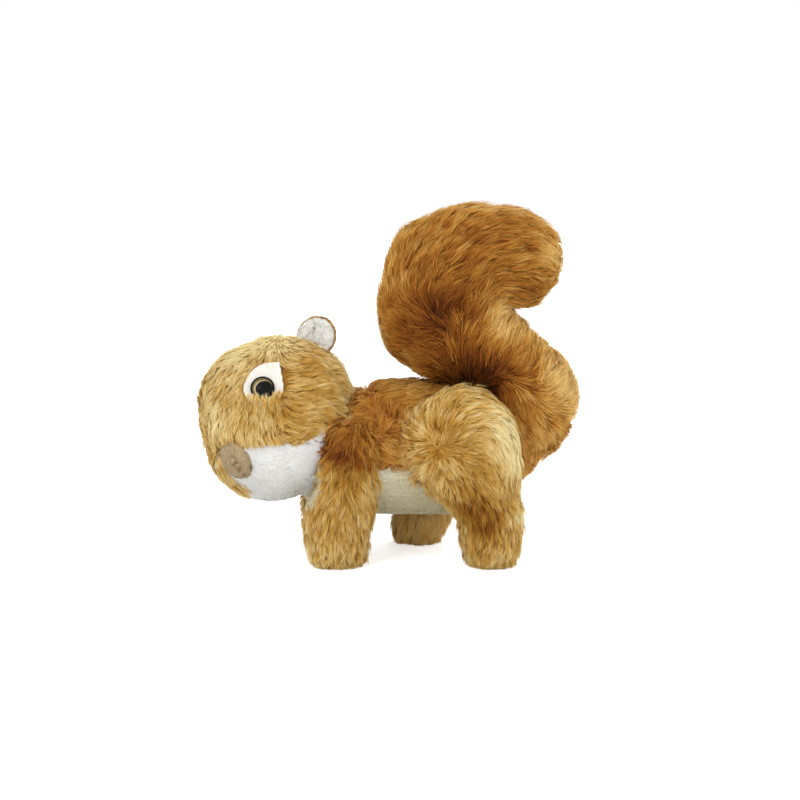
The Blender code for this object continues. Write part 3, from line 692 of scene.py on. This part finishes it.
def strand_mesh(name, lines, normals, shade, pile, random):
    """A mesh of tapered ribbons: two points at the root, two in the middle and one at the tip."""
    count = len(lines)
    root, middle, tip = lines[:, 0], lines[:, 1], lines[:, 2]
    way = unit(tip - middle)
    side = unit(np.cross(way, normals))
    side = turned(side, way, np.radians(STRAND_ROLL) * random.normal(size=count))
    facing = unit(np.cross(side, way))
    inward = (facing * normals).sum(1, keepdims=True) < 0
    side, facing = np.where(inward, -side, side), np.where(inward, -facing, facing)
    half = side * (pile.width * MM / 2 * random.uniform(*WIDTH_SPREAD, count))[:, None]
    foot = half * ROOT_WIDTH
    points = np.stack([root - foot, root + foot, middle - half, middle + half, tip], 1)
    # Darker roots are painted shade; paler tips are partly the tips' own colour and partly painted light
    # shining through them
    tones = np.stack([shade + pile.root_painted_shade] * 2 + [shade] * 2 + [shade + pile.tip_tint_and_painted_light], 1)
    tones = np.clip(tones, 0.01, 0.99)

    corner = np.array((0, 1, 3, 2, 2, 3, 4))
    mesh = bpy.data.meshes.new(name)
    mesh.vertices.add(count * 5)
    mesh.loops.add(count * 7)
    mesh.polygons.add(count * 2)
    mesh.vertices.foreach_set("co", points.ravel())
    corners = (np.arange(count)[:, None] * 5 + corner).astype(np.int32)
    mesh.loops.foreach_set("vertex_index", corners.ravel())
    starts = (np.arange(count)[:, None] * 7 + np.array((0, 4))).astype(np.int32)
    mesh.polygons.foreach_set("loop_start", starts.ravel())
    mesh.update(calc_edges=True)
    mesh.shade_smooth()
    tone = mesh.attributes.new("tone", "FLOAT", "POINT")
    tone.data.foreach_set("value", tones.astype(np.float32).ravel())
    place = np.stack([tones[:, corner], np.repeat(random.random((count, 1)) * 0.98 + 0.01, 7, 1)], 2)
    mesh.uv_layers.new(name="OFBake").data.foreach_set("uv", place.astype(np.float32).ravel())
    soft = np.repeat(unit(normals * COAT_NORMAL + facing * OWN_NORMAL)[:, None], 5, 1)
    own = mesh.attributes.new("custom_normal", "FLOAT_VECTOR", "POINT")
    own.data.foreach_set("vector", soft.astype(np.float32).ravel())
    return mesh


def new_material(name, roughness, sheen=0.0):
    made = bpy.data.materials.new(name)
    made.use_nodes = True
    shader = made.node_tree.nodes["Principled BSDF"]
    shader.inputs["Roughness"].default_value = roughness
    shader.inputs["Sheen Weight"].default_value = sheen
    return made, made.node_tree, shader


def colour_ramp(tree, colours):
    ramp = tree.nodes.new("ShaderNodeValToRGB")
    elements = ramp.color_ramp.elements
    while len(elements) < len(colours):
        elements.new(0.5)
    for element, (position, *colour) in zip(elements, colours):
        element.position = position
        element.color = (*linear(colour), 1.0)
    return ramp


def strand_material(name, colours, see_through=0.35):
    """Pile whose colour runs from dark roots, which are painted shade, to pale tips, partly their own colour
    and partly painted light; part of the light passes through each strand.
    """
    if name in bpy.data.materials:
        return bpy.data.materials[name]
    made, tree, shader = new_material(name, 0.65, 0.08)
    shader.inputs["Sheen Tint"].default_value = (*linear(colours[-1][1:]), 1.0)
    shader.inputs["Specular IOR Level"].default_value = 0.12
    tone = tree.nodes.new("ShaderNodeAttribute")
    tone.attribute_name = "tone"
    ramp = colour_ramp(tree, colours)
    through = tree.nodes.new("ShaderNodeBsdfTranslucent")
    mix = tree.nodes.new("ShaderNodeMixShader")
    mix.inputs[0].default_value = see_through
    tree.links.new(tone.outputs["Fac"], ramp.inputs["Fac"])
    tree.links.new(ramp.outputs["Color"], shader.inputs["Base Color"])
    tree.links.new(ramp.outputs["Color"], through.inputs["Color"])
    tree.links.new(shader.outputs[0], mix.inputs[1])
    tree.links.new(through.outputs[0], mix.inputs[2])
    tree.links.new(mix.outputs[0], tree.nodes["Material Output"].inputs["Surface"])
    return made


def woven_material(name, colours, low, high, scale, bump, roughness=0.9, sheen=0.1):
    """A fabric mottled between two tones of its colours, with a nap in its bump."""
    if name in bpy.data.materials:
        return bpy.data.materials[name]
    made, tree, shader = new_material(name, roughness, sheen)
    noise = tree.nodes.new("ShaderNodeTexNoise")
    noise.inputs["Scale"].default_value = scale
    noise.inputs["Detail"].default_value = 5.0
    place = tree.nodes.new("ShaderNodeTexCoord")
    tree.links.new(place.outputs["Object"], noise.inputs["Vector"])
    spread = tree.nodes.new("ShaderNodeMapRange")
    spread.inputs["To Min"].default_value = low
    spread.inputs["To Max"].default_value = high
    tree.links.new(noise.outputs["Fac"], spread.inputs["Value"])
    ramp = colour_ramp(tree, colours)
    tree.links.new(spread.outputs["Result"], ramp.inputs["Fac"])
    tree.links.new(ramp.outputs["Color"], shader.inputs["Base Color"])
    nap = tree.nodes.new("ShaderNodeBump")
    nap.inputs["Strength"].default_value = bump
    nap.inputs["Distance"].default_value = 0.0006
    tree.links.new(noise.outputs["Fac"], nap.inputs["Height"])
    tree.links.new(nap.outputs["Normal"], shader.inputs["Normal"])
    return made


def add_skin(node, slot, material, nodes, sink, voxel=SKIN_FACE):
    """The stuffed shape under a node's pile, which takes the place of the node."""
    mesh = stuffed_form(f"{node}_skin", nodes, voxel, grow=-sink * MM)
    if node in STUFFING and node != "muzzle":
        points, _, normals = mesh_arrays(mesh)
        set_points(mesh, points + stuffing_at(points, normals, node))
    skin = add_object(f"{node}_skin", mesh, slot)
    skin.data.materials.append(material)
    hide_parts(node)
    return skin


def make_camera():
    data = bpy.data.cameras.new("photo_camera")
    data.sensor_width = SENSOR
    data.lens = FOCAL_PIXELS / PHOTO_SIZE * SENSOR
    data.shift_x = (PHOTO_SIZE / 2 - PHOTO_CENTRE[0]) / PHOTO_SIZE
    data.shift_y = (PHOTO_CENTRE[1] - PHOTO_SIZE / 2) / PHOTO_SIZE
    data.clip_start = 0.01
    camera = add_object("photo_camera", data)
    camera.location = (
        0.0,
        -CAMERA_DISTANCE * math.cos(CAMERA_ELEVATION),
        AIM_HEIGHT + CAMERA_DISTANCE * math.sin(CAMERA_ELEVATION),
    )
    camera.rotation_euler = (math.pi / 2 - CAMERA_ELEVATION, 0.0, 0.0)
    bpy.context.scene.camera = camera


def add_lamp(name, location, size, power):
    data = bpy.data.lights.new(name, "AREA")
    data.shape = "DISK"
    data.size = size
    data.energy = power
    lamp = add_object(name, data)
    lamp.location = location
    lamp.rotation_euler = (Vector(LAMP_AIM) - Vector(location)).to_track_quat("-Z", "Y").to_euler()


def seen_directly(tree):
    """A value that is 1 for rays from the camera, a mirror or glass, and 0 for light that bounces."""
    path = tree.nodes.new("ShaderNodeLightPath")
    value = path.outputs["Is Camera Ray"]
    for other in ("Is Glossy Ray", "Is Transmission Ray"):
        larger = tree.nodes.new("ShaderNodeMath")
        larger.operation = "MAXIMUM"
        tree.links.new(value, larger.inputs[0])
        tree.links.new(path.outputs[other], larger.inputs[1])
        value = larger.outputs[0]
    return value


def make_world():
    """Even white light, and a pure white surround for the camera."""
    world = bpy.data.worlds.new("studio")
    world.use_nodes = True
    bpy.context.scene.world = world
    tree = world.node_tree
    light = tree.nodes["Background"]
    light.inputs["Color"].default_value = (1.0, 1.0, 1.0, 1.0)
    light.inputs["Strength"].default_value = WORLD_STRENGTH
    white = tree.nodes.new("ShaderNodeBackground")
    white.inputs["Color"].default_value = (1.0, 1.0, 1.0, 1.0)
    mix = tree.nodes.new("ShaderNodeMixShader")
    tree.links.new(seen_directly(tree), mix.inputs[0])
    tree.links.new(light.outputs[0], mix.inputs[1])
    tree.links.new(white.outputs[0], mix.inputs[2])
    tree.links.new(mix.outputs[0], tree.nodes["World Output"].inputs["Surface"])


def make_floor():
    """A pale floor that keeps the toy's shadow and fades into the white surround."""
    mesh = bpy.data.meshes.new("floor")
    corners = [(x * FLOOR_HALF, y * FLOOR_HALF, 0) for x, y in ((-1, -1), (1, -1), (1, 1), (-1, 1))]
    mesh.from_pydata(corners, [], [(0, 1, 2, 3)])
    floor = add_object("floor", mesh)
    floor.location.z = -FLOOR_DROP
    made, tree, shader = new_material("floor", 0.9)
    shader.inputs["Base Color"].default_value = (FLOOR_GREY, FLOOR_GREY, FLOOR_GREY, 1.0)
    shader.inputs["Specular IOR Level"].default_value = 0.0
    place = tree.nodes.new("ShaderNodeTexCoord")
    length = tree.nodes.new("ShaderNodeVectorMath")
    length.operation = "LENGTH"
    rise = tree.nodes.new("ShaderNodeMapRange")
    rise.inputs["From Min"].default_value, rise.inputs["From Max"].default_value = FLOOR_GLOW_REACH
    rise.inputs["To Min"].default_value, rise.inputs["To Max"].default_value = FLOOR_GLOW
    strength = tree.nodes.new("ShaderNodeMath")
    strength.operation = "MULTIPLY"
    glow = tree.nodes.new("ShaderNodeEmission")
    add = tree.nodes.new("ShaderNodeAddShader")
    tree.links.new(place.outputs["Object"], length.inputs[0])
    tree.links.new(length.outputs["Value"], rise.inputs["Value"])
    tree.links.new(seen_directly(tree), strength.inputs[0])
    tree.links.new(rise.outputs["Result"], strength.inputs[1])
    tree.links.new(strength.outputs[0], glow.inputs["Strength"])
    tree.links.new(shader.outputs[0], add.inputs[0])
    tree.links.new(glow.outputs[0], add.inputs[1])
    tree.links.new(add.outputs[0], tree.nodes["Material Output"].inputs["Surface"])
    mesh.materials.append(made)


FRONT_LEGS = ("front_left_leg", "front_right_leg")
HIND_LEGS = ("hind_left_leg", "hind_right_leg")
FABRICS = (
    Fabric("head", ("head",), "golden_pile", HEAD_PILE, HEAD_FLOW, HEAD_TONES, HEAD_RUFFLES,
           near_half_of_head, trimmed_at=("muzzle", "nose"), openings=(EYE_OPENING, JOWL)),
    Fabric("jowl", ("head",), "white_pile", MUZZLE_PILE, MUZZLE_FLOW, MUZZLE_TONES, fold=near_half_of_head,
           only_in=JOWL, colours=WHITE),
    Fabric("muzzle", ("muzzle",), "white_pile", MUZZLE_PILE, MUZZLE_FLOW, MUZZLE_TONES,
           fold=near_half_of_head, colours=WHITE),
    Fabric("torso", ("torso",), "brown_pile", TORSO_PILE, TORSO_FLOW, TORSO_TONES, TORSO_RUFFLES,
           trimmed_at=("belly_panel",), colours=BROWN),
    Fabric("belly", ("belly_panel",), "cream_pile", BELLY_PILE, BELLY_FLOW, BELLY_TONES, colours=CREAM),
    *(Fabric(leg, (leg,), "golden_pile", LEG_PILE, FRONT_LEG_FLOW, FRONT_LEG_TONES, FRONT_LEG_RUFFLES,
             openings=(SHOULDER, CHEST), blend=4.0) for leg in FRONT_LEGS),
    *(Fabric(f"{leg}_shoulder", (leg,), "golden_pile", SHOULDER_PILE, FRONT_LEG_FLOW, SHOULDER_TONES,
             FRONT_LEG_RUFFLES, trimmed_at=("muzzle",), only_in=SHOULDER, blend=4.0, colours=BROWN)
      for leg in FRONT_LEGS),
    *(Fabric(f"{leg}_chest", (leg,), "cream_pile", CHEST_PILE, BELLY_FLOW, BELLY_TONES, only_in=CHEST,
             colours=CREAM) for leg in FRONT_LEGS),
    *(Fabric(leg, (leg,), "golden_pile", LEG_PILE, HIND_LEG_FLOW, HIND_LEG_TONES, HIND_LEG_RUFFLES,
             near_hind_leg, inner=False) for leg in HIND_LEGS),
    # The inside of the hind legs: brown pile made paler as painted bounce light
    *(Fabric(f"{leg}_inside", (leg,), "golden_pile", LEG_PILE, INNER_LEG_FLOW, INNER_LEG_TONES,
             fold=near_hind_leg, inner=True, colours=BROWN) for leg in HIND_LEGS),
    Fabric("tail", ("tail",), "tail_pile", TAIL_PILE, TAIL_FLOW, TAIL_TONES, TAIL_RUFFLES, pieces=2,
           colours=BROWN),
    Fabric("eyelid", ("head",), "golden_pile", LID_PILE, LID_FLOW, fold=near_half_of_head, only_in=LID),
    Fabric("beside_nose", ("muzzle",), "golden_pile", BESIDE_NOSE_PILE, HEAD_FLOW, fold=as_seen,
           only_in=BESIDE_NOSE),
)
WASHERS = ("left_eye_washer", "right_eye_washer")
PATCHES = ("left_eye_patch", "right_eye_patch")


def make_body():
    """The skins of the head, torso, legs and tail, and their pile."""
    golden = woven_material("golden_backing", GOLDEN, 0.45, 0.65, 700.0, 0.6)
    brown = woven_material("brown_backing", BROWN, 0.3, 0.55, 700.0, 0.6)
    white = woven_material("white_backing", WHITE, 0.6, 0.9, 900.0, 0.5)
    cream = woven_material("cream_backing", CREAM, 0.3, 0.7, 900.0, 0.5)
    add_skin("head", "golden_pile", golden, ("head", "muzzle", *WASHERS), HEAD_SINK)
    add_skin("torso", "brown_pile", brown, ("torso", "belly_panel"), TORSO_SINK)
    add_skin("muzzle", "white_pile", white, ("muzzle",), PANEL_SINK, PANEL_FACE)
    add_skin("belly_panel", "cream_pile", cream, ("belly_panel",), PANEL_SINK, PANEL_FACE)
    add_skin("tail", "tail_pile", brown, ("tail",), TAIL_SINK)
    for leg in (*FRONT_LEGS, *HIND_LEGS):
        add_skin(leg, "golden_pile", golden, (leg,), LEG_SINK)

    owners = tuple(dict.fromkeys(node for fabric in FABRICS for node in fabric.nodes))
    coat = Surface(stuffed_form("coat", (*owners, *WASHERS, *PATCHES), COAT_FACE, smoothing=4), owners)
    for index, fabric in enumerate(FABRICS):
        grow_pile(coat, fabric, SEED_STEP * index)


# How much larger than its solid the ear's lining is sewn
EAR_LINING_SPREAD = 1.09
EAR_SEED = 100
LINING_SEED = 110


def make_ears():
    """Each ear: a furred back and a white lining, darker along its crease as painted shade."""
    golden = woven_material("golden_backing", GOLDEN, 0.45, 0.65, 700.0, 0.6)
    white = woven_material("ear_backing", WHITE, 0.25, 0.45, 900.0, 0.5)
    for index, side in enumerate(("left", "right")):
        back, lining = f"{side}_ear_back", f"{side}_ear_lining"
        add_skin(back, "golden_pile", golden, (back,), EAR_SINK, EAR_FACE)
        skin = add_skin(lining, "white_pile", white, (lining,), 0.0, SMALL_FACE)
        points = mesh_arrays(skin.data)[0]
        middle = points.mean(0)
        set_points(skin.data, middle + (points - middle) * EAR_LINING_SPREAD)
        surface = Surface(stuffed_form("ear", (back,), EAR_COAT_FACE, smoothing=3), (back,))
        furred = Fabric(back, (back,), "golden_pile", EAR_PILE, EAR_FLOW, fold=near_half_of_head)
        grow_pile(surface, furred, EAR_SEED + index)
        surface = Surface(skin.data, (lining,))
        lined = Fabric(lining, (lining,), "white_pile", LINING_PILE, EAR_FLOW, EAR_TONES,
                       fold=near_half_of_head, colours=WHITE)
        grow_pile(surface, lined, LINING_SEED + index)


# The nose pad against its solid: its share of the width, its turn in degrees and its shift in metres. Its
# pinched crease is a line of photo pixels, so many pixels wide and millimetres deep
NOSE_NARROWER = 0.88
NOSE_TURN = -30
NOSE_SHIFT = (0.0047, -0.0018, 0.0030)
NOSE_CREASE = ((233, 458), (237, 464), (242, 470), (244, 475))
NOSE_CREASE_WIDTH = 1.8
NOSE_CREASE_DEPTH = 1.8
NOSE_CREASE_MOST = 1.2
NOSE_SEED = 120


def make_nose():
    """The beige pad on the muzzle, with its crease."""
    beige = woven_material("nose_backing", BEIGE, 0.45, 0.65, 900.0, 0.5)
    skin = add_skin("nose", "nose_pile", beige, ("nose",), NOSE_SINK, NOSE_FACE)
    points, _, normals = mesh_arrays(skin.data)
    across = unit(node_points("left_eye").mean(0) - node_points("right_eye").mean(0))
    side = (points - points.mean(0)) @ across
    points = points - (side * (1 - NOSE_NARROWER))[:, None] * across
    middle = points.mean(0)
    outward = unit(middle - node_points("head").mean(0))
    turn = np.full(len(points), math.radians(NOSE_TURN))
    points = turned(points - middle, outward, turn) + middle + np.array(NOSE_SHIFT)
    pinch = spots_at(to_photo(points), [(x, y, NOSE_CREASE_WIDTH, 1.0) for x, y in NOSE_CREASE])
    depth = np.minimum(pinch, NOSE_CREASE_MOST) * NOSE_CREASE_DEPTH * MM
    points = points - normals * depth[:, None]
    set_points(skin.data, points)
    knit = Fabric("nose", ("nose",), "nose_pile", NOSE_PILE, NOSE_FLOW, NOSE_TONES, fold=as_seen,
                  colours=BEIGE)
    grow_pile(Surface(skin.data, ("nose",)), knit, NOSE_SEED)


def turned_piece(name, profile, origin, axes, around=48):
    """A turned mesh about the third of its axes, from r, z pairs in millimetres."""
    points, faces = [], []
    for r, z in profile:
        for j in range(around):
            angle = 2 * math.pi * j / around
            points.append((r * math.cos(angle), r * math.sin(angle), z))
    for i in range(len(profile) - 1):
        for j in range(around):
            k = (j + 1) % around
            faces.append((i * around + j, i * around + k, (i + 1) * around + k, (i + 1) * around + j))
    world = origin + np.array(points) * MM @ np.array(axes)
    shell = bmesh.new()
    made = [shell.verts.new(p) for p in world]
    for face in faces:
        shell.faces.new([made[i] for i in face])
    bmesh.ops.remove_doubles(shell, verts=shell.verts, dist=1e-6)
    bmesh.ops.recalc_face_normals(shell, faces=shell.faces)
    mesh = bpy.data.meshes.new(name)
    shell.to_mesh(mesh)
    shell.free()
    mesh.shade_smooth()
    mesh.set_sharp_from_angle(angle=math.radians(40))
    return mesh


# The eye in millimetres. Outlines of turned pieces are radius and height out from the button's back face
EYE_RADIUS = 8.2
EYE_RIM = 0.9
EYE_DOME = 4.8
EYE_STEM_RADIUS = 2.4
EYE_STEM_LENGTH = 12
EYE_BODY = (
    (0, -EYE_STEM_LENGTH), (1.9, -EYE_STEM_LENGTH), (EYE_STEM_RADIUS, -11.5), (EYE_STEM_RADIUS, 0),
    (7.7, 0), (EYE_RADIUS, 0.5), (EYE_RADIUS, 1.5), (7.9, 2.1), (7.6, 2.2), (6.85, 1.9), (6.8, 0.0),
    (0, 0.0),
)
IRIS = ((6.8, 1.75), (6.0, 0.2), (0.0, 0.2))
PUPIL_RADIUS = 5.6
PUPIL_HEIGHT = 1.6
PUPIL = ((PUPIL_RADIUS, PUPIL_HEIGHT), (0, PUPIL_HEIGHT))

# The pupil's place on the iris, across and up, and the whole eye's place against its solid in X, Y and Z
PUPIL_SHIFT = (1.2, -0.8)
EYE_SHIFT = (-2.3, 0.0, 2.1)

# Where the patch reaches higher than its solid: a photo pixel, a radius in pixels, and millimetres
PATCH_RISE = ((258, 368, 10, 2.6), (269, 363, 9, 2.2))


def mirrored_in_head(vector):
    """A vector mirrored across the head's own middle plane."""
    axis = unit(node_points("left_eye").mean(0) - node_points("right_eye").mean(0))
    return vector - 2 * (vector @ axis) * axis


def moved(obj, shift):
    obj.data.transform(Matrix.Translation(shift.tolist()))
    return obj


def eye_materials():
    """Black plastic, bronze paint and a clear dome that only adds its gloss."""
    black, _, shader = new_material("eye_black", 0.15)
    shader.inputs["Base Color"].default_value = (0.004, 0.0035, 0.003, 1.0)
    shader.inputs["Specular IOR Level"].default_value = 0.04
    bronze, _, shader = new_material("eye_bronze", 0.4)
    shader.inputs["Base Color"].default_value = (*linear((150, 132, 88)), 1.0)
    shader.inputs["Metallic"].default_value = 0.3
    clear, tree, shader = new_material("eye_clear", 0.03)
    shader.inputs["Metallic"].default_value = 1.0
    shader.inputs["Base Color"].default_value = (0.9, 0.9, 0.9, 1.0)
    fresnel = tree.nodes.new("ShaderNodeFresnel")
    fresnel.inputs["IOR"].default_value = 1.1
    see = tree.nodes.new("ShaderNodeBsdfTransparent")
    mix = tree.nodes.new("ShaderNodeMixShader")
    tree.links.new(fresnel.outputs[0], mix.inputs[0])
    tree.links.new(see.outputs[0], mix.inputs[1])
    tree.links.new(shader.outputs[0], mix.inputs[2])
    tree.links.new(mix.outputs[0], tree.nodes["Material Output"].inputs["Surface"])
    return black, bronze, clear


def make_eyes():
    """Each eye: a black button with a sunk bronze iris under a clear dome, on its felt patch."""
    black, bronze, clear = eye_materials()
    felt = woven_material("felt", WHITE, 0.45, 0.8, 2500.0, 0.6)
    angles = np.radians(np.arange(16, 91, 6))
    dome = [(EYE_RADIUS * math.cos(a), EYE_RIM + EYE_DOME * math.sin(a)) for a in angles]
    for side in ("left", "right"):
        button, patch = f"{side}_eye", f"{side}_eye_patch"
        points = node_points(button)
        middle = points.mean(0)
        out = unit(middle - node_points(f"{side}_eye_washer").mean(0))
        front = (points @ out).max() - middle @ out
        shift = np.array(EYE_SHIFT) * MM
        if side == "right":
            shift = mirrored_in_head(shift)
        shift = shift - (shift @ out) * out
        origin = middle + shift + out * (front - (EYE_RIM + EYE_DOME) * MM)
        across = unit(np.cross((0.0, 0.0, 1.0), out))
        axes = (across, np.cross(out, across), out)
        lower = origin + (axes[0] * PUPIL_SHIFT[0] + axes[1] * PUPIL_SHIFT[1]) * MM
        for part, profile, place, material in (
            ("button", EYE_BODY, origin, black),
            ("iris", IRIS, origin, bronze),
            ("pupil", PUPIL, lower, black),
            ("dome", dome, origin, clear),
        ):
            name = f"{side}_eye_{part}"
            piece = add_object(name, turned_piece(name, profile, place, axes), "eye_plastic")
            piece.data.materials.append(material)
            if part == "button":
                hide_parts(button)
        disc = moved(add_skin(patch, "felt", felt, (patch,), 0.0, SMALL_FACE), shift)
        points, _, normals = mesh_arrays(disc.data)
        rise = spots_at(to_photo(near_half_of_head(points, normals)[0]), PATCH_RISE) * MM
        set_points(disc.data, points + rise[:, None] * axes[1])


def finish_washers():
    """The hidden washers keep their solids and get a pale plastic."""
    made, tree, shader = new_material("washer_plastic", 0.5)
    noise = tree.nodes.new("ShaderNodeTexNoise")
    noise.inputs["Scale"].default_value = 300.0
    ramp = colour_ramp(tree, ((0.0, 214, 214, 212), (1.0, 228, 228, 226)))
    tree.links.new(noise.outputs["Fac"], ramp.inputs["Fac"])
    tree.links.new(ramp.outputs["Color"], shader.inputs["Base Color"])
    for washer in WASHERS:
        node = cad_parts[washer]
        node.data.materials.clear()
        node.data.materials.append(made)


make_camera()
make_world()
make_floor()
for lamp in LAMPS:
    add_lamp(*lamp)
make_body()
make_ears()
make_nose()
make_eyes()
finish_washers()

bpy.context.scene.view_settings.view_transform = "Standard"
